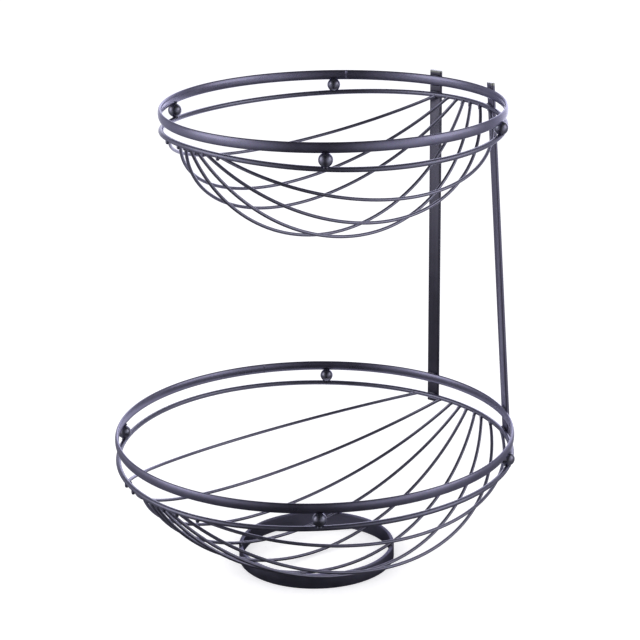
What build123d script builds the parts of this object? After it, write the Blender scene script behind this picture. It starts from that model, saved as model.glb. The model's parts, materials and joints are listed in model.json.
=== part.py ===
"""A two tier wire basket: two round wire bowls, one over the other, on a foot ring and two upright bars.

The origin is on the floor at the centre of the foot ring, with +Z up and +Y to the back, where the bars are.
Lengths are in millimetres. Angles are in degrees about each bowl's own centre, from the back towards +X.
"""
import os
from math import cos, radians, sin, sqrt

from build123d import *

os.makedirs("parts", exist_ok=True)

# The two bowls
lower_rim_diameter = 300
upper_rim_diameter = 253
lower_bowl_depth = 85.1
upper_bowl_depth = 77.5
tier_spacing = 244.3
upper_setback = 2.5

# Oval strip of the two rims
rim_height = 7.5
rim_thickness = 3

# Round stock
ring_rod_diameter = 3.8
wire_diameter = 2.5
ball_diameter = 10.2

# Foot ring
foot_diameter = 119
foot_height = 11.5
foot_thickness = 3
foot_edge_radius = 0.6

# Upright bars
bar_width = 10.5
bar_thickness = 2.8
bar_edge_share = 0.4
bar_top_overhang = 3.7
bar_bottom_overhang = 2.7

# How far a welded piece is let into the one that it is welded to
ball_seat = 0.1
wire_seat = 0.3
bar_seat = 0.4

# How far inside the middle of the ring's rod each wire's end stands, before it is cut to the rod's round
wire_end_inset = 0.5

# How far welding has bowed each ring up, at every eighth of a turn from the back towards +X
lower_ring_bow = (0.6, 1.3, 1.8, 0.1, -1.5, 0.3, 1.8, 0.8)
upper_ring_bow = (5.2, 3.5, 0.3, 1.4, 5.3, 1.3, -0.6, 2.6)

# Where each ring's two half turns meet, at its sides, clear of every ball, bar and wire
ring_seam_angle = 90
ring_step_angle = 10

# Where the balls stand round each bowl, and where each bar crosses the lower and the upper rim
lower_ball_angles = (-50, 53, 125, 226)
upper_ball_angles = (-53, 55, 129, 236)
left_bar_angles = (-14.2, -14.7)
right_bar_angles = (23.1, 14.4)

# The fanned wires, from the left of each bowl to its right: where each one leaves the ring at the back and
# meets it at the front, how far its middle lies to the side, as a share of the ring's radius, and how low
# its middle hangs, as a share of the round bowl's depth there
lower_back_angles = (-19, -10, -5.3, -1.6, 1.5, 5.5, 9, 14.4, 23)
lower_front_angles = (192.4, 187.7, 183.2, 180.3, 178, 175.4, 172.6, 167.6, 160.6)
lower_side_shares = (-0.843, -0.639, -0.445, -0.245, -0.015, 0.268, 0.501, 0.718, 0.9)
lower_depth_shares = (1.07, 1.015, 1.02, 1, 1, 1, 1.04, 1.145, 1.01)
upper_back_angles = (-13.1, -7.7, -3.4, -0.1, 3.6, 9.4, 16)
upper_front_angles = (194, 185.5, 182, 179.7, 176.3, 172.2, 166.3)
upper_side_shares = (-0.787, -0.56, -0.434, -0.006, 0.316, 0.58, 0.811)
upper_depth_shares = (0.88, 0.93, 1.01, 1, 0.976, 0.92, 0.865)


def bowl_drop(side, ring_radius, depth):
    """How far a round bowl of this depth lies below its ring, at this distance from its centre."""
    sphere_radius = (ring_radius**2 + depth**2) / (2 * depth)
    return sqrt(sphere_radius**2 - side**2) - (sphere_radius - depth)


# Radii and heights that follow from the sizes above
lower_rim_radius = lower_rim_diameter / 2
upper_rim_radius = upper_rim_diameter / 2
lower_ring_radius = lower_rim_radius - ring_rod_diameter / 2
foot_middle_radius = (foot_diameter - foot_thickness) / 2
ring_below_rim = rim_height / 2 + ball_diameter + ring_rod_diameter / 2 - 2 * ball_seat
seated_wire_height = foot_height + wire_diameter / 2 - wire_seat
lower_ring_height = seated_wire_height + bowl_drop(foot_middle_radius, lower_ring_radius, lower_bowl_depth)
lower_rim_height = lower_ring_height + ring_below_rim
upper_rim_height = lower_rim_height + tier_spacing
upper_ring_height = upper_rim_height - ring_below_rim
upper_centre_y = lower_rim_radius - upper_rim_radius - upper_setback


def place(centre_y, radius, angle, height):
    """The point at this radius and angle about a bowl's centre."""
    return Vector(radius * sin(radians(angle)), centre_y + radius * cos(radians(angle)), height)


def save(piece, name):
    """Name a finished piece, write it and hand it back."""
    piece.part.label = name
    export_step(piece.part, f"parts/{name}.step")
    return piece.part


def rolled_rim(name, rim_radius, centre_y, height):
    """An oval strip standing on edge, rolled into a ring and welded end to end."""
    section_plane = Plane(origin=(0, centre_y, height), x_dir=(1, 0, 0), z_dir=(0, -1, 0))
    with BuildPart() as rim:
        with BuildSketch(section_plane):
            with Locations((rim_radius - rim_thickness / 2, 0)):
                Ellipse(rim_thickness / 2, rim_height / 2)
        revolve(axis=Axis((0, centre_y, 0), (0, 0, 1)))
    return save(rim, name)


def ring_rise(bow, angle):
    """How far a bowed ring lies above its level there, on a smooth curve through its eight rises."""
    rise = 0
    for eighth, eighth_rise in enumerate(bow):
        turn = radians(angle - eighth * 45)
        share = (1 + 2 * cos(turn) + 2 * cos(2 * turn) + 2 * cos(3 * turn) + cos(4 * turn)) / 8
        rise += share * eighth_rise
    return rise


def rolled_ring(name, ring_radius, centre_y, height, bow):
    """A round rod rolled to the rim's outside diameter and bowed by its welds, in two half turns."""
    middle_points = []
    for turned_angle in range(0, 360, ring_step_angle):
        angle = ring_seam_angle + turned_angle
        middle_points.append(place(centre_y, ring_radius, angle, height + ring_rise(bow, angle)))
    middle_line = Spline(*middle_points, periodic=True)
    with BuildPart() as ring:
        for half_turn in (middle_line.trim(0, 1 / 2), middle_line.trim(1 / 2, 1)):
            with BuildSketch(Plane(origin=half_turn @ 0, z_dir=half_turn % 0)):
                Circle(ring_rod_diameter / 2)
            sweep(path=half_turn)
    return save(ring, name)


def spacer_ball(name, rim_radius, centre_y, angle, rim, rim_bottom_height, ring, ring_top_height):
    """A steel ball welded between the rim and the ring, with a shallow seat for each."""
    ball_radius = ball_diameter / 2
    ball_height = (rim_bottom_height + ring_top_height) / 2
    ball_circle_radius = rim_radius - (rim_thickness + ring_rod_diameter) / 4
    with BuildPart() as ball:
        with Locations(place(centre_y, ball_circle_radius, angle, ball_height)):
            Sphere(ball_radius)
        add(rim, mode=Mode.SUBTRACT)
        add(ring, mode=Mode.SUBTRACT)
    return save(ball, name)


def fan_wire(
    name, ring_radius, centre_y, ring_height, depth, ring, bow, back, front, side_share, depth_share
):
    """One wire bent to an arc from the back of the ring, under the fruit, to the front of the ring.

    Each end is cut to fit the round of the ring, where it is welded.
    """
    back_height = ring_height + ring_rise(bow, back)
    front_height = ring_height + ring_rise(bow, front)
    end_radius = ring_radius - wire_end_inset
    side = side_share * ring_radius
    middle_height = ring_height - depth_share * bowl_drop(side, ring_radius, depth)
    with BuildPart() as wire:
        with BuildLine() as bend:
            ThreePointArc(
                place(centre_y, end_radius, back, back_height),
                place(centre_y, side, (back + front) / 2, middle_height),
                place(centre_y, end_radius, front, front_height),
            )
        with BuildSketch(Plane(origin=bend.line @ 0, z_dir=bend.line % 0)):
            Circle(wire_diameter / 2)
        sweep()
        add(ring, mode=Mode.SUBTRACT)
    return save(wire, name)


def basket(tier, rim_radius, centre_y, rim_middle_height, depth, bow, ball_angles, *wire_table):
    """One bowl: its rim, its ring, the balls between them and the fan of wires below."""
    ring_height = rim_middle_height - ring_below_rim
    ring_radius = rim_radius - ring_rod_diameter / 2
    rim_bottom = rim_middle_height - rim_height / 2
    rim = rolled_rim(f"{tier}_rim", rim_radius, centre_y, rim_middle_height)
    ring = rolled_ring(f"{tier}_ring", ring_radius, centre_y, ring_height, bow)
    for number, angle in enumerate(ball_angles, 1):
        ball_name = f"{tier}_ball_{number}"
        ring_top = ring_height + ring_rise(bow, angle) + ring_rod_diameter / 2
        spacer_ball(ball_name, rim_radius, centre_y, angle, rim, rim_bottom, ring, ring_top)
    wires = []
    for number, wire_row in enumerate(zip(*wire_table), 1):
        wire_name = f"{tier}_wire_{number}"
        wires.append(fan_wire(wire_name, ring_radius, centre_y, ring_height, depth, ring, bow, *wire_row))
    return rim, ring, wires


def foot_ring(wires):
    """A flat strip rolled into a ring, with a shallow notch in its top edge for each wire on it."""
    with BuildPart() as foot:
        with BuildSketch(Plane.XZ):
            with Locations((foot_middle_radius, foot_height / 2)):
                RectangleRounded(foot_thickness, foot_height, foot_edge_radius)
        revolve(axis=Axis.Z)
        add(wires, mode=Mode.SUBTRACT)
    return save(foot, "foot_ring")


def upright(name, lower_angle, upper_angle, hoops):
    """A flat bar welded to the outside of both bowls, with a shallow seat for each rim and ring."""
    low_point = place(0, lower_rim_radius, lower_angle, lower_rim_height)
    high_point = place(upper_centre_y, upper_rim_radius, upper_angle, upper_rim_height)
    lean = (high_point - low_point).normalized()
    outward = place(0, lower_rim_radius, (lower_angle + upper_angle) / 2, 0)
    across = outward.cross(lean).normalized()
    bottom_height = lower_ring_height - ring_rod_diameter / 2 - bar_bottom_overhang
    top_height = upper_rim_height + rim_height / 2 + bar_top_overhang
    bottom_point = low_point + lean * ((bottom_height - low_point.Z) / lean.Z)
    bar_length = (top_height - bottom_height) / lean.Z
    with BuildPart() as bar:
        with BuildSketch(Plane(origin=bottom_point, x_dir=across, z_dir=lean)):
            with Locations((0, bar_thickness / 2 - bar_seat)):
                RectangleRounded(bar_width, bar_thickness, bar_edge_share * bar_thickness)
        extrude(amount=bar_length)
        add(hoops, mode=Mode.SUBTRACT)
    return save(bar, name)


lower_rim, lower_ring, lower_wires = basket(
    "lower",
    lower_rim_radius,
    0,
    lower_rim_height,
    lower_bowl_depth,
    lower_ring_bow,
    lower_ball_angles,
    lower_back_angles,
    lower_front_angles,
    lower_side_shares,
    lower_depth_shares,
)
upper_rim, upper_ring, upper_wires = basket(
    "upper",
    upper_rim_radius,
    upper_centre_y,
    upper_rim_height,
    upper_bowl_depth,
    upper_ring_bow,
    upper_ball_angles,
    upper_back_angles,
    upper_front_angles,
    upper_side_shares,
    upper_depth_shares,
)
foot_ring(lower_wires)
hoops = [lower_rim, lower_ring, upper_rim, upper_ring]
upright("left_upright", *left_bar_angles, hoops)
upright("right_upright", *right_bar_angles, hoops)
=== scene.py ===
"""A tiered wire basket in dark powder coated steel, on a white sweep, lit by two softboxes.

Lengths are in metres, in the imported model's frame: +Z up, +Y to the back, where the two upright bars are.
Angles are in degrees. Colours are linear.
"""

import json
from collections import namedtuple
from functools import cache
from math import cos, pi, radians, sin

import bpy
from mathutils import Matrix, Vector
from mathutils.bvhtree import BVHTree


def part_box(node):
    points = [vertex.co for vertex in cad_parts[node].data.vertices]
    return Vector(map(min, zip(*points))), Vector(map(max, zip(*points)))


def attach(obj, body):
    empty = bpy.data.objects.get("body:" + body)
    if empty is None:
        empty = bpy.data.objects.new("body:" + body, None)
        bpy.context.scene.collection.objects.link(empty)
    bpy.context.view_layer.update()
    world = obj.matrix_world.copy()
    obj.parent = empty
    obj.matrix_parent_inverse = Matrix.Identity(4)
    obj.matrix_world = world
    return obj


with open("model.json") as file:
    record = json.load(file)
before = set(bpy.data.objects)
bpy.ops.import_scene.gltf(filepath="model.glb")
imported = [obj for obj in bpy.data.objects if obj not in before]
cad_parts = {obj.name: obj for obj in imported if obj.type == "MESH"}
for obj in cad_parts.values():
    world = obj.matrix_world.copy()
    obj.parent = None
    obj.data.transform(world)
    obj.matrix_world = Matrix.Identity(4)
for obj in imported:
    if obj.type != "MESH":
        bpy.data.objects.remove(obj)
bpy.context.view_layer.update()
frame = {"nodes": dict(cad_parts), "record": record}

MM = 0.001
UP = Vector((0, 0, 1))

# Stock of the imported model
RIM_THICKNESS = 3.0 * MM
RIM_HEIGHT = 7.5 * MM
ROD_DIAMETER = 3.8 * MM
BALL_DIAMETER = 10.2 * MM
FOOT_THICKNESS = 3.0 * MM
FOOT_HEIGHT = 11.5 * MM
FOOT_MIDDLE_RADIUS = 58 * MM

# Each hoop's thickness and height
HOOPS = {"rim": (RIM_THICKNESS, RIM_HEIGHT), "ring": (ROD_DIAMETER, ROD_DIAMETER)}

# How many balls and wires there are, and which of the lower wires rest on the foot ring
TIERS = ("lower", "upper")
BALL_COUNT = 4
WIRE_COUNTS = {"lower": 9, "upper": 7}
WIRES_ON_FOOT = range(3, 8)


# Nodes
def fill_inputs(tree, node, inputs):
    """Set each of these inputs to a value, or link it to another node's output."""
    for name, source in inputs.items():
        if isinstance(source, bpy.types.NodeSocket):
            tree.links.new(source, node.inputs[name])
        else:
            node.inputs[name].default_value = source


def add_node(tree, kind, inputs):
    """A new node with these inputs."""
    node = tree.nodes.new(kind)
    fill_inputs(tree, node, inputs)
    return node


def worked_out(tree, kind, operation, *terms):
    """A maths node that works this out from its terms."""
    node = tree.nodes.new(kind)
    node.operation = operation
    fill_inputs(tree, node, dict(enumerate(terms)))
    return node


def mixed(tree, first, second, share, blend_type="MIX"):
    """Two colours mixed, with this share of the second."""
    mix = tree.nodes.new("ShaderNodeMix")
    mix.data_type = "RGBA"
    mix.blend_type = blend_type
    fill_inputs(tree, mix, {"A": first, "B": second, "Factor": share})
    return mix.outputs["Result"]


def scaled(tree, value, low, high, new_low=0, new_high=1):
    """A value between low and high, carried over to between the new low and the new high."""
    ends = {"From Min": low, "From Max": high, "To Min": new_low, "To Max": new_high}
    return add_node(tree, "ShaderNodeMapRange", {"Value": value, **ends}).outputs["Result"]


def noise(tree, place, scale, detail):
    """A cloudy pattern that changes about this many times to the metre."""
    inputs = {"Vector": place, "Scale": scale, "Detail": detail}
    return add_node(tree, "ShaderNodeTexNoise", inputs).outputs["Fac"]


# The powder coat's clouds, flakes and orange peel: how fine each pattern is, and how much it does
CLOUD_SCALE = 55.0
CLOUD_DETAIL = 4.0
FLAKE_SCALE = 2600.0
FLAKE_SHARE = 0.12
PEEL_SCALE = 900.0
PEEL_DETAIL = 3.0
PEEL_STRENGTH = 0.5

# Where in the clouds the colour goes from thin to full, and the gloss from smoother to rougher
TONE_CLOUDS = (0.3, 0.62)
GLOSS_CLOUDS = (0.3, 0.7)
SMOOTHER = 0.04
ROUGHER = 0.05

# How deep the orange peel is on strip and rod, on the balls and on the weld metal
PEEL = 0.02 * MM
BALL_PEEL = 0.015 * MM
WELD_PEEL = 0.06 * MM

# Where a bar goes lighter and greyer towards its top end, a painted highlight on the top face, and the
# colour there
TOP_HIGHLIGHT_START = 352.9 * MM
TOP_HIGHLIGHT_FULL = 354.2 * MM
TOP_HIGHLIGHT_COLOUR = (0.3, 0.31, 0.28, 1)


def powder_coat(name, colour, thin_colour, roughness, peel_height, clear=0.4, edge_tint=(0.8, 0.79, 1)):
    """Satin metallic powder coat: fine flake, orange peel, and a little unevenness in tone and gloss."""
    material = bpy.data.materials.new(name)
    material.use_nodes = True
    tree = material.node_tree
    place = add_node(tree, "ShaderNodeTexCoord", {}).outputs["Object"]
    cloud = noise(tree, place, CLOUD_SCALE, CLOUD_DETAIL)
    flake = add_node(tree, "ShaderNodeTexVoronoi", {"Vector": place, "Scale": FLAKE_SCALE}).outputs["Color"]
    peel = noise(tree, place, PEEL_SCALE, PEEL_DETAIL)

    tone = mixed(tree, (*thin_colour, 1), (*colour, 1), scaled(tree, cloud, *TONE_CLOUDS))
    gloss = scaled(tree, cloud, *GLOSS_CLOUDS, roughness - SMOOTHER, roughness + ROUGHER)
    bump = {"Strength": PEEL_STRENGTH, "Distance": peel_height, "Height": peel}
    finish = {
        "Metallic": 0.98,
        "IOR": 1.5,
        "Specular Tint": (*edge_tint, 1),
        "Coat Weight": clear,
        "Coat Roughness": 0.22,
        "Base Color": mixed(tree, tone, flake, FLAKE_SHARE, "OVERLAY"),
        "Roughness": gloss,
        "Normal": add_node(tree, "ShaderNodeBump", bump).outputs["Normal"],
    }
    fill_inputs(tree, tree.nodes["Principled BSDF"], finish)
    return material


def paint_top_highlight(material):
    """Lighter, greyer colour towards the top end of a bar: a painted highlight on its top face."""
    tree = material.node_tree
    place = tree.nodes["Texture Coordinate"].outputs["Object"]
    base_colour = tree.nodes["Principled BSDF"].inputs["Base Color"]
    coat_colour = base_colour.links[0].from_socket
    height = add_node(tree, "ShaderNodeSeparateXYZ", {0: place}).outputs["Z"]
    top_highlight = scaled(tree, height, TOP_HIGHLIGHT_START, TOP_HIGHLIGHT_FULL)
    tree.links.new(mixed(tree, coat_colour, TOP_HIGHLIGHT_COLOUR, top_highlight), base_colour)


coated_strip = powder_coat("coated_strip", (0.19, 0.183, 0.268), (0.16, 0.154, 0.228), 0.30, PEEL)
coated_rod = powder_coat("coated_rod", (0.18, 0.177, 0.245), (0.15, 0.148, 0.205), 0.37, PEEL)
coated_ball = powder_coat("coated_ball", (0.18, 0.178, 0.235), (0.15, 0.148, 0.195), 0.26, BALL_PEEL)
weld_coat = powder_coat("weld_coat", (0.12, 0.118, 0.15), (0.07, 0.069, 0.09), 0.42, WELD_PEEL)
# The upright bars' coats are darker copies of the rods' coat, painted shade: the left bar's darkest, the
# right bar's less so
deep_shaded_bar_coat = powder_coat("deep_shaded_bar_coat", (0.082, 0.078, 0.108), (0.066, 0.063, 0.088), 0.34, PEEL)
shaded_side_bar_coat = powder_coat("shaded_side_bar_coat", (0.135, 0.127, 0.185), (0.115, 0.108, 0.16), 0.34, PEEL)
# The wires' coat is a lighter copy of the rods' coat, painted light
lit_wire_coat = powder_coat("lit_wire_coat", (0.205, 0.2, 0.272), (0.175, 0.171, 0.232), 0.36, PEEL)
# The foot ring's coat is a darker copy, painted shade: a dimmer edge tint and a thinner clear coat make it
# reflect less
shaded_foot_coat = powder_coat(
    "shaded_foot_coat",
    (0.175, 0.17, 0.24),
    (0.15, 0.146, 0.206),
    0.36,
    PEEL,
    clear=0.1,
    edge_tint=(0.4, 0.39, 0.5),
)
# Painted highlight on the bars' top faces
paint_top_highlight(deep_shaded_bar_coat)
paint_top_highlight(shaded_side_bar_coat)

# The coat of each slot, and the nodes that have a coat of their own: darker copies for the bars and the
# foot ring, which paint shade
slot_coats = {"coated_strip": coated_strip, "coated_rod": coated_rod, "coated_ball": coated_ball}
own_coats = {"left_upright": deep_shaded_bar_coat, "right_upright": shaded_side_bar_coat, "foot_ring": shaded_foot_coat}


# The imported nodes
MERGE_DISTANCE = 0.001 * MM
SHARP_ANGLE = 32

slots = {part["node"]: part["material_slot"] for part in frame["record"]["subparts"]}
for node_name, node in frame["nodes"].items():
    # Wires and their welds take the lighter coat, which paints light on them
    coat = lit_wire_coat if "wire" in node_name else own_coats.get(node_name, slot_coats[slots[node_name]])
    node.data.materials.clear()
    node.data.materials.append(coat)
    for face in node.data.polygons:
        face.use_smooth = True
    weld = node.modifiers.new("join the loose triangles", "WELD")
    weld.merge_threshold = MERGE_DISTANCE
    split = node.modifiers.new("keep the sharp edges", "EDGE_SPLIT")
    split.split_angle = radians(SHARP_ANGLE)


# Where the metal is
Spot = namedtuple("Spot", "middle out along")

# How far above and below a hoop the rays start that find its top and its bottom
RAY_DISTANCE = 40 * MM

# How far from a wire's tip the three stretches are that show which way it runs and how it bends
STRETCHES = ((5 * MM, 16 * MM), (16 * MM, 28 * MM), (28 * MM, 40 * MM))


def corners_of(node_name):
    """The corners of a CAD node's mesh."""
    return [corner.co.copy() for corner in frame["nodes"][node_name].data.vertices]


@cache
def skin_of(node_name):
    """The skin of a CAD node, for measuring from."""
    faces = [tuple(face.vertices) for face in frame["nodes"][node_name].data.polygons]
    return BVHTree.FromPolygons(corners_of(node_name), faces)


def box_of(node_name):
    """The low and the high corner of the box around a node."""
    return [Vector(corner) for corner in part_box(node_name)]


def middle_of(points):
    """The mean of some points."""
    return sum(points, Vector()) / len(points)


def hoop(node_name, towards, thickness):
    """The middle of a hoop's stock on the side of a point, and the ways outward and along there."""
    low, high = box_of(node_name)
    centre = (low + high) / 2
    out = Vector((towards.x - centre.x, towards.y - centre.y, 0)).normalized()
    level = centre + ((high.x - low.x) / 2 - thickness / 2) * out
    skin = skin_of(node_name)
    top = skin.ray_cast(level + RAY_DISTANCE * UP, -UP)[0]
    bottom = skin.ray_cast(level - RAY_DISTANCE * UP, UP)[0]
    return Spot((top + bottom) / 2, out, Vector((-out.y, out.x, 0)))


def wire_end(node_name, at_back):
    """The end of a wire at its ring, and the way that the wire arrives there."""
    points = corners_of(node_name)
    tip = max(points, key=lambda point: point.y if at_back else -point.y)
    middles = []
    for nearest, furthest in STRETCHES:
        middles.append(middle_of([point for point in points if nearest < (point - tip).length < furthest]))
    way = (middles[0] - middles[1]).normalized()
    bend = way - (middles[1] - middles[2]).normalized()
    way_in = (way + bend).normalized()
    return middles[0] + (middles[0] - tip).length * way_in, way_in


# Weld metal
TurnedForm = namedtuple("TurnedForm", "sides lumps profile")


def form(sides, lumps, *rows):
    """A form to turn, from rows of height share and radius. Lumps and radii are in millimetres."""
    return TurnedForm(sides, lumps * MM, [(share, radius * MM) for share, radius in rows])


# The bulging profile of a bead, thinner in its middle and drawn in at its ends
BEAD_ROWS = (
    (0, 0.35),
    (0.06, 0.8),
    (0.18, 1.1),
    (0.34, 1.25),
    (0.5, 1.15),
    (0.66, 1.27),
    (0.82, 1.1),
    (0.94, 0.8),
    (1, 0.35),
)

# The neck of a ball's weld, the flare of a wire's end, the cut tip of a wire, and beads on bars and rims
NECK = form(24, 0.05, (0, 2.7), (0.2, 2.15), (0.4, 1.9), (0.62, 1.92), (0.82, 2.2), (1, 2.7))
FLARE = form(18, 0.05, (0, 1.26), (0.35, 1.29), (0.6, 1.36), (0.8, 1.48), (1, 1.65))
TIP = form(18, 0.04, (0, 1.4), (0.45, 1.45), (0.7, 1.4), (0.9, 1.15), (1, 0.7))
BEAD = form(14, 0.07, *BEAD_ROWS)
SEAM = form(16, 0.04, *BEAD_ROWS)

# How much the lumps go out and in instead of any way, and the angle up to which a form is smooth
LUMPS_OUTWARD = 0.6
SMOOTH_ANGLE = 50

# How far a neck is let into its rim or ring and into its ball, and how far apart the seeds are of the lumps
# on the necks above and below a ball
NECK_IN_HOOP = 1.0 * MM
NECK_IN_BALL = 1.5 * MM
NECK_SEEDS_APART = 9

# Where a flare starts and stops, back along the wire from the middle of the ring's rod, and how many looks
# it takes to find that middle
FLARE_START = 4.4 * MM
FLARE_STOP = 1.1 * MM
CLOSER_LOOKS = 3

# How long the cut tips are in turn, and how far outside the middle of the ring's rod they hang. Towards the
# very front, where the ring comes to the edge of the CAD box, its round leaves them less room to stand out.
TIP_LENGTHS = (3.0 * MM, 3.3 * MM, 3.6 * MM)
TIP_STANDS_OUT = 1.3 * MM
TIP_SET_BACK = 0.25 * MM
ROUND_OF_RING = 120 * MM

# How much of a bar's end shows where it crosses a basket, how far its beads are let into the top or bottom
# of a hoop and into its outside, and how far they reach to each side
BAR_END = 8 * MM
BEAD_IN_HEIGHT = 0.5 * MM
BEAD_IN_OUTSIDE = 0.3 * MM
BAR_BEAD_REACH = 4.3 * MM

# How near the foot ring's middle line and how low a wire is that touches the foot, how far its bead is let
# into the foot, and how far that reaches to each side
TOUCHING_DISTANCE = 2 * MM
TOUCHING_HEIGHT = 16 * MM
BEAD_IN_FOOT = 0.2 * MM
FOOT_BEAD_REACH = 2.8 * MM

# Where each rim's butt weld is, from the back towards +X, how far it stops short of the strip's edges, how
# far the middles of its two beads lie inside the strip's faces, and the seed of all their lumps
SEAM_ANGLES = {"upper_rim": -48.5, "lower_rim": -70}
SEAM_SHORT = 0.1 * MM
SEAM_INSET = 1.12 * MM
SEAM_SEED = 5


def turned(foot, top, shape, seed):
    """A closed form turned about the line from foot to top."""
    axis = top - foot
    first_share, first_radius = shape.profile[0]
    bpy.ops.object.select_all(action="DESELECT")
    bpy.ops.mesh.primitive_circle_add(
        vertices=shape.sides,
        radius=first_radius,
        fill_type="NGON",
        location=foot + first_share * axis,
        rotation=axis.to_track_quat("Z", "Y").to_euler(),
    )
    bpy.ops.object.mode_set(mode="EDIT")
    bpy.ops.mesh.select_all(action="SELECT")
    for (share, radius), (next_share, next_radius) in zip(shape.profile, shape.profile[1:]):
        step = (next_share - share) * axis
        bpy.ops.mesh.extrude_region_move(TRANSFORM_OT_translate={"value": step})
        growth = next_radius / radius
        centre = foot + next_share * axis
        bpy.ops.transform.resize(value=(growth, growth, growth), center_override=centre)
    bpy.ops.mesh.select_all(action="SELECT")
    bpy.ops.transform.vertex_random(offset=shape.lumps, uniform=0, normal=LUMPS_OUTWARD, seed=seed)
    bpy.ops.mesh.normals_make_consistent(inside=False)
    bpy.ops.object.mode_set(mode="OBJECT")
    bpy.ops.object.transform_apply(location=True, rotation=True, scale=True)
    bpy.ops.object.shade_smooth_by_angle(angle=radians(SMOOTH_ANGLE))
    return bpy.context.object


def join(name, pieces, coat):
    """Make one piece of several, in its coat, riding on the basket."""
    bpy.ops.object.select_all(action="DESELECT")
    for piece in pieces:
        piece.select_set(True)
    bpy.context.view_layer.objects.active = pieces[0]
    bpy.ops.object.join()
    piece = bpy.context.object
    piece.name = name
    piece.data.name = name
    piece.data.materials.clear()
    piece.data.materials.append(coat)
    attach(piece, "root")


def ball_welds(tier):
    """The necks of weld metal above and below each ball."""
    necks = []
    for number in range(1, BALL_COUNT + 1):
        ball = middle_of(box_of(f"{tier}_ball_{number}"))
        rim = hoop(f"{tier}_rim", ball, RIM_THICKNESS).middle
        ring = hoop(f"{tier}_ring", ball, ROD_DIAMETER).middle
        under_rim = rim - (RIM_HEIGHT / 2 - NECK_IN_HOOP) * UP
        over_ring = ring + (ROD_DIAMETER / 2 - NECK_IN_HOOP) * UP
        pole = (BALL_DIAMETER / 2 - NECK_IN_BALL) * UP
        necks.append(turned(ball + pole, under_rim, NECK, number))
        necks.append(turned(ball - pole, over_ring, NECK, number + NECK_SEEDS_APART))
    join(f"{tier}_ball_welds", necks, weld_coat)


def wire_welds(tier):
    """A flare of weld metal where each wire runs into the ring, at the back and at the front."""
    flares = []
    for number in range(1, WIRE_COUNTS[tier] + 1):
        for at_back in (True, False):
            end, way = wire_end(f"{tier}_wire_{number}", at_back)
            for closer_look in range(CLOSER_LOOKS):
                ring = hoop(f"{tier}_ring", end, ROD_DIAMETER).middle
                end = end + (ring - end).dot(way) * way
            flares.append(turned(end - FLARE_START * way, end - FLARE_STOP * way, FLARE, number))
    join(f"{tier}_wire_welds", flares, lit_wire_coat)


def wire_tips(tier):
    """The cut end of each wire, showing under the outside of the ring at the front."""
    tips = []
    for number in range(1, WIRE_COUNTS[tier] + 1):
        end, way = wire_end(f"{tier}_wire_{number}", False)
        ring = hoop(f"{tier}_ring", end, ROD_DIAMETER)
        stands_out = min(TIP_STANDS_OUT, ROUND_OF_RING * (1 - abs(ring.out.y)))
        start = ring.middle + (stands_out - TIP_SET_BACK) * ring.out
        length = TIP_LENGTHS[number % len(TIP_LENGTHS)]
        tips.append(turned(start, start - length * UP, TIP, number))
    join(f"{tier}_wire_tips", tips, coated_rod)


def bar_welds():
    """Beads above and below each rim and ring where the upright bars cross them."""
    beads = []
    for bar in ("left_upright", "right_upright"):
        low, high = box_of(bar)
        bottom = middle_of([point for point in corners_of(bar) if point.z < low.z + BAR_END])
        top = middle_of([point for point in corners_of(bar) if point.z > high.z - BAR_END])
        for tier, crossing in zip(TIERS, (bottom, top)):
            for kind, (thickness, height) in HOOPS.items():
                stock = hoop(f"{tier}_{kind}", crossing, thickness)
                outwards = (thickness / 2 - BEAD_IN_OUTSIDE) * stock.out
                reach = BAR_BEAD_REACH * stock.along
                for side in (1, -1):
                    spot = stock.middle + side * (height / 2 - BEAD_IN_HEIGHT) * UP + outwards
                    beads.append(turned(spot - reach, spot + reach, BEAD, len(beads)))
    join("bar_welds", beads, weld_coat)


def foot_welds():
    """Beads beside the wires that rest on the foot ring."""
    beads = []
    for number in WIRES_ON_FOOT:
        points = corners_of(f"lower_wire_{number}")
        for side in (1, -1):
            near = [point for point in points if side * point.y > 0]
            touch = min(near, key=lambda point: abs(point.xy.length - FOOT_MIDDLE_RADIUS))
            distance = abs(touch.xy.length - FOOT_MIDDLE_RADIUS)
            if distance > TOUCHING_DISTANCE or touch.z > TOUCHING_HEIGHT:
                continue
            foot = hoop("foot_ring", touch, FOOT_THICKNESS)
            spot = foot.middle + (FOOT_HEIGHT / 2 - BEAD_IN_FOOT) * UP
            reach = FOOT_BEAD_REACH * foot.along
            beads.append(turned(spot - reach, spot + reach, BEAD, number))
    join("foot_welds", beads, weld_coat)


def rim_seams():
    """The dressed butt weld of each rim, a little proud of the strip."""
    seams = []
    for rim_name, angle in SEAM_ANGLES.items():
        towards = middle_of(box_of(rim_name)) + Vector((sin(radians(angle)), cos(radians(angle)), 0))
        rim = hoop(rim_name, towards, RIM_THICKNESS)
        half = (RIM_HEIGHT / 2 - SEAM_SHORT) * UP
        for side in (1, -1):
            spot = rim.middle + side * (RIM_THICKNESS / 2 - SEAM_INSET) * rim.out
            seams.append(turned(spot - half, spot + half, SEAM, SEAM_SEED))
    join("rim_seams", seams, coated_strip)


for welds in (ball_welds, wire_welds, wire_tips):
    for tier in TIERS:
        welds(tier)
bar_welds()
foot_welds()
rim_seams()


# Room
SWEEP_SIZE = 8
PAPER_COLOUR = (0.8, 0.8, 0.8, 1)
GLOW_COLOUR = (0.97, 0.965, 1, 1)
GLOW_STRENGTH = 0.5
WHITE = (1, 1, 1, 1)
AMBIENT_STRENGTH = 0.75

# How much bluer than grey the room and the floor are in gloss
COOLNESS = 1.03

# The level ways towards the camera and towards the room's dark side, which lies behind the camera and a
# little to its left
TOWARDS_CAMERA = Vector((0.8100, -0.5864, 0))
DARK_SIDE = Vector((0.6996, -0.7145, 0))

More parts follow.
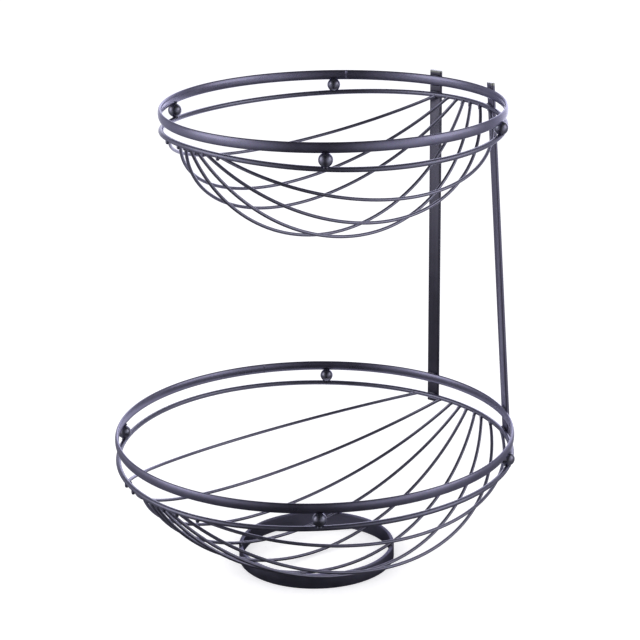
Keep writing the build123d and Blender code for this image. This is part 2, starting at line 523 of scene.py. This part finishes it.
# Brightness in gloss, round about from the far side to the dark side, of the room and of the floor close to
# the basket, where the floor's darkness is painted shade
ROOM = (
    (0.0, 2.3),
    (0.045, 1.2),
    (0.12, 0.5),
    (0.32, 0.55),
    (0.45, 0.66),
    (0.6, 0.95),
    (0.72, 1.1),
    (0.87, 0.85),
    (0.93, 0.5),
    (0.975, 0.2),
    (1.0, 0.09),
)
SHADED_FLOOR = (
    (0.0, 0.8),
    (0.06, 0.4),
    (0.2, 0.2),
    (0.62, 0.2),
    (0.78, 0.15),
    (0.88, 0.09),
    (0.96, 0.035),
    (1.0, 0.02),
)

# Brightness in gloss from straight down to straight up
UP_AND_DOWN = ((0.12, 0.25), (0.40, 0.9), (0.50, 1.0), (0.62, 0.85), (0.75, 0.6), (0.92, 0.12))

# How far the floor's painted shade in gloss goes from shaded to open, and how much it is dimmed further as
# painted shade within the foot ring, by its distance from the middle as a share of half the sweep
FARNESS = ((0.015, 0.0), (0.06, 0.1), (0.11, 0.24), (0.18, 0.5), (0.3, 0.85), (0.5, 1.0))
WITHIN_FOOT = ((0.0145, 0.3), (0.02, 1.0))

# The two softboxes: the turn of each from the camera's side, and what they share
SOFTBOX_TURNS = {"softbox_right": 78, "softbox_left": -82}
SOFTBOX_RISE = 22
SOFTBOX_DISTANCE = 1.5
SOFTBOX_SIZE = 1.0
SOFTBOX_RADIANCE = 1.2
BASKET_MIDDLE = Vector((0, 0, 0.2))

# The camera, fitted to the photograph
CAMERA_PLACE = (1.1600, -0.8396, 0.6553)
CAMERA_TURN = 53.89
CAMERA_RISE = 17.98
CAMERA_ROLL = -0.86
LENS_LENGTH = 114.26
SENSOR_WIDTH = 36
NEAREST_SEEN = 0.05


def graded(tree, place, stops):
    """Brightness at a place along a ramp, from stops that are pairs of place and brightness."""
    node = add_node(tree, "ShaderNodeValToRGB", {"Fac": place})
    ramp = node.color_ramp
    ramp.interpolation = "EASE"
    while len(ramp.elements) < len(stops):
        ramp.elements.new(0.5)
    for stop, (position, brightness) in zip(ramp.elements, stops):
        stop.position = position
        stop.color = (brightness, brightness, brightness * COOLNESS, 1)
    return node.outputs["Color"]


def round_about(tree, way, stops):
    """How bright it is round about, from the room's far side to its dark side."""
    level = worked_out(tree, "ShaderNodeVectorMath", "MULTIPLY", way, (1, 1, 0)).outputs["Vector"]
    unit = worked_out(tree, "ShaderNodeVectorMath", "NORMALIZE", level).outputs["Vector"]
    toward_dark = worked_out(tree, "ShaderNodeVectorMath", "DOT_PRODUCT", unit, DARK_SIDE).outputs["Value"]
    return graded(tree, scaled(tree, toward_dark, -1, 1), stops)


def product(tree, first, second):
    """Two colours multiplied."""
    return mixed(tree, first, second, 1, "MULTIPLY")


def either(tree, choice, first, second):
    """The first shader where the choice is nothing and the second where it is one."""
    shaders = {0: choice, 1: first.outputs[0], 2: second.outputs[0]}
    return add_node(tree, "ShaderNodeMixShader", shaders)


def white_sweep():
    """The pale floor that the basket stands on; in gloss it shows painted shade, darker close to the basket
    and within the foot ring.
    """
    bpy.ops.object.select_all(action="DESELECT")
    bpy.ops.mesh.primitive_plane_add(size=SWEEP_SIZE, location=(0, 0, 0))
    sweep = bpy.context.object
    sweep.name = "white_sweep"
    material = bpy.data.materials.new("white_sweep")
    material.use_nodes = True
    tree = material.node_tree
    tree.nodes.clear()
    paper = add_node(tree, "ShaderNodeBsdfDiffuse", {"Color": PAPER_COLOUR})
    glow = add_node(tree, "ShaderNodeEmission", {"Color": GLOW_COLOUR, "Strength": GLOW_STRENGTH})
    lit_paper = add_node(tree, "ShaderNodeAddShader", {0: paper.outputs[0], 1: glow.outputs[0]})

    place = add_node(tree, "ShaderNodeTexCoord", {}).outputs["Object"]
    distance = worked_out(tree, "ShaderNodeVectorMath", "LENGTH", place).outputs["Value"]
    distance_share = scaled(tree, distance, 0, SWEEP_SIZE / 2)
    shaded_floor = round_about(tree, place, SHADED_FLOOR)
    open_floor = round_about(tree, place, ROOM)
    floor_tone = mixed(tree, shaded_floor, open_floor, graded(tree, distance_share, FARNESS))
    mirrored_colour = product(tree, floor_tone, graded(tree, distance_share, WITHIN_FOOT))
    mirrored = add_node(tree, "ShaderNodeEmission", {"Color": mirrored_colour})

    in_gloss = add_node(tree, "ShaderNodeLightPath", {}).outputs["Is Glossy Ray"]
    floor = either(tree, in_gloss, lit_paper, mirrored)
    add_node(tree, "ShaderNodeOutputMaterial", {"Surface": floor.outputs[0]})
    sweep.data.materials.append(material)


def studio():
    """White all round for the eye, and for gloss a pale room with a dark side behind the camera."""
    world = bpy.data.worlds.new("studio")
    bpy.context.scene.world = world
    world.use_nodes = True
    world.cycles.sampling_method = "NONE"
    tree = world.node_tree
    tree.nodes.clear()
    way = add_node(tree, "ShaderNodeTexCoord", {}).outputs["Generated"]
    rise = add_node(tree, "ShaderNodeSeparateXYZ", {0: way}).outputs["Z"]
    up_and_down = graded(tree, scaled(tree, rise, -1, 1), UP_AND_DOWN)
    room_colour = product(tree, round_about(tree, way, ROOM), up_and_down)

    room = add_node(tree, "ShaderNodeBackground", {"Color": room_colour})
    ambient = add_node(tree, "ShaderNodeBackground", {"Color": WHITE, "Strength": AMBIENT_STRENGTH})
    white = add_node(tree, "ShaderNodeBackground", {"Color": WHITE, "Strength": 1})
    ray = add_node(tree, "ShaderNodeLightPath", {}).outputs
    looks = (ray["Is Camera Ray"], ray["Is Transmission Ray"])
    looked_at = worked_out(tree, "ShaderNodeMath", "MAXIMUM", *looks).outputs[0]
    soft = either(tree, ray["Is Glossy Ray"], ambient, room)
    all_round = either(tree, looked_at, soft, white)
    add_node(tree, "ShaderNodeOutputWorld", {"Surface": all_round.outputs[0]})


def softbox(name, turn):
    """A square area lamp at this turn from the camera's side, aimed at the middle of the basket."""
    rise = radians(SOFTBOX_RISE)
    side = Matrix.Rotation(radians(turn), 3, "Z") @ TOWARDS_CAMERA
    place = BASKET_MIDDLE + SOFTBOX_DISTANCE * (cos(rise) * side + sin(rise) * UP)
    lamp = bpy.data.lights.new(name, "AREA")
    lamp.shape = "SQUARE"
    lamp.size = SOFTBOX_SIZE
    lamp.energy = SOFTBOX_RADIANCE * pi * SOFTBOX_SIZE * SOFTBOX_SIZE
    holder = bpy.data.objects.new(name, lamp)
    bpy.context.collection.objects.link(holder)
    holder.location = place
    holder.rotation_euler = (BASKET_MIDDLE - place).to_track_quat("-Z", "Y").to_euler()
    holder.visible_camera = False


def camera():
    """The photograph's own point of view."""
    lens = bpy.data.cameras.new("camera")
    lens.lens = LENS_LENGTH
    lens.sensor_width = SENSOR_WIDTH
    lens.clip_start = NEAREST_SEEN
    eye = bpy.data.objects.new("camera", lens)
    bpy.context.collection.objects.link(eye)
    turn = Matrix.Rotation(radians(CAMERA_TURN), 4, "Z")
    tilt = Matrix.Rotation(radians(90 - CAMERA_RISE), 4, "X")
    roll = Matrix.Rotation(radians(CAMERA_ROLL), 4, "Z")
    eye.matrix_world = Matrix.Translation(CAMERA_PLACE) @ turn @ tilt @ roll
    bpy.context.scene.camera = eye


white_sweep()
studio()
for softbox_name, softbox_turn in SOFTBOX_TURNS.items():
    softbox(softbox_name, softbox_turn)
camera()
bpy.context.scene.view_settings.view_transform = "Standard"
